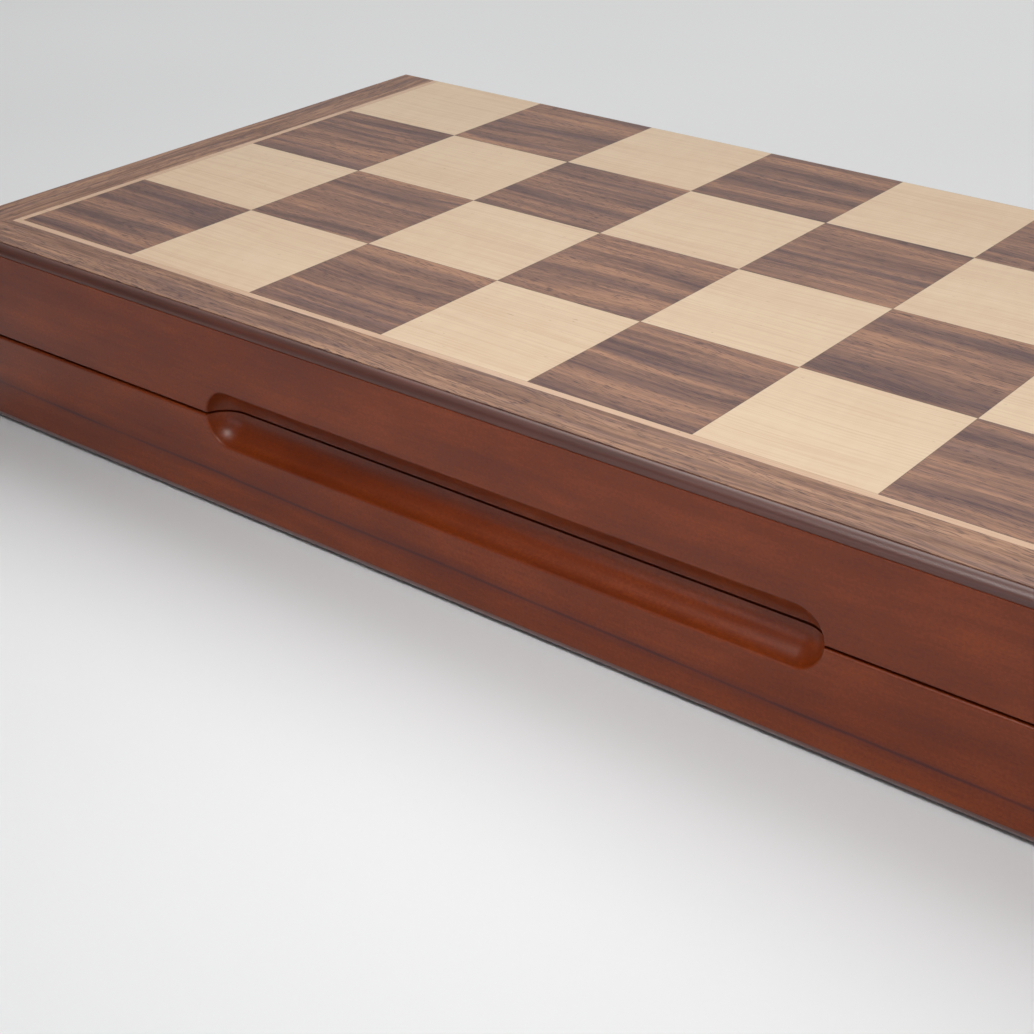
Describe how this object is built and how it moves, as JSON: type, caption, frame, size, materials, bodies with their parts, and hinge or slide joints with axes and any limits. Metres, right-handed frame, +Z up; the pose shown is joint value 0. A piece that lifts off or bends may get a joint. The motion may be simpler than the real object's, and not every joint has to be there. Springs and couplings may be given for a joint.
{
  "type": "folding chess set",
  "caption": "Folding wooden chess box whose outer faces form the board, hinged along the back, with a finger groove in front and turned pieces stored in foam trays inside.",
  "frame": {"origin": "centre of the closed box's footprint, on the surface it lies on", "axes": "+X along the hinge edge, -Y towards the front with the finger groove, +Z up through the closed box"},
  "size_m": [0.381, 0.1929, 0.053],
  "materials": {
    "mahogany_stained_wood": "satin lacquer over reddish brown stain",
    "walnut_veneer": "satin lacquered dark veneer with straight grain",
    "maple_veneer": "satin lacquered pale veneer",
    "maple_inlay": "satin lacquered pale inlay line",
    "dark_lipping": "glossy lacquered dark moulding",
    "birch_plywood": "bare plywood edge",
    "hinge_brass": "polished",
    "brass_screws": "polished",
    "nickel_plate": "bright nickel",
    "green_felt": "wool felt",
    "storage_foam": "closed-cell foam",
    "boxwood": "satin lacquered boxwood",
    "ebonised_wood": "satin lacquered ebonised wood"
  },
  "bodies": {
    "lower_half": {"lower_front_rail": "mahogany_stained_wood", "lower_back_rail": "mahogany_stained_wood", "lower_left_rail": "mahogany_stained_wood", "lower_right_rail": "mahogany_stained_wood", "lower_panel_core": "birch_plywood", "lower_dark_squares": "walnut_veneer", "lower_light_squares": "maple_veneer", "lower_border_front": "walnut_veneer", "lower_border_left": "walnut_veneer", "lower_border_right": "walnut_veneer", "lower_inlay_lines": "maple_inlay", "lower_edge_lipping": "dark_lipping", "lower_felt_liner": "green_felt", "lower_magnets": "nickel_plate", "lower_hinge_screws": "brass_screws", "lower_foam_insert": "storage_foam", "left_hinge_lower_leaf": "hinge_brass", "left_hinge_pin": "hinge_brass", "right_hinge_lower_leaf": "hinge_brass", "right_hinge_pin": "hinge_brass", "light_king": "boxwood", "light_queen": "boxwood", "light_bishop_1": "boxwood", "light_bishop_2": "boxwood", "light_knight_1": "boxwood", "light_knight_2": "boxwood", "light_rook_1": "boxwood", "light_rook_2": "boxwood", "light_pawns": "boxwood", "light_piece_felts": "green_felt"},
    "upper_half": {"upper_front_rail": "mahogany_stained_wood", "upper_back_rail": "mahogany_stained_wood", "upper_left_rail": "mahogany_stained_wood", "upper_right_rail": "mahogany_stained_wood", "upper_panel_core": "birch_plywood", "upper_dark_squares": "walnut_veneer", "upper_light_squares": "maple_veneer", "upper_border_front": "walnut_veneer", "upper_border_left": "walnut_veneer", "upper_border_right": "walnut_veneer", "upper_inlay_lines": "maple_inlay", "upper_edge_lipping": "dark_lipping", "upper_felt_liner": "green_felt", "upper_magnets": "nickel_plate", "upper_hinge_screws": "brass_screws", "upper_foam_insert": "storage_foam", "left_hinge_upper_leaf": "hinge_brass", "right_hinge_upper_leaf": "hinge_brass", "dark_king": "ebonised_wood", "dark_queen": "ebonised_wood", "dark_bishop_1": "ebonised_wood", "dark_bishop_2": "ebonised_wood", "dark_knight_1": "ebonised_wood", "dark_knight_2": "ebonised_wood", "dark_rook_1": "ebonised_wood", "dark_rook_2": "ebonised_wood", "dark_pawns": "ebonised_wood", "dark_piece_felts": "green_felt"}
  },
  "joints": [
    {"name": "fold_hinge", "type": "hinge", "parent": "lower_half", "child": "upper_half", "pos_m": [0, 0.0954, 0.0265], "axis": [-1, 0, 0], "range_deg": [0, 180]}
  ]
}
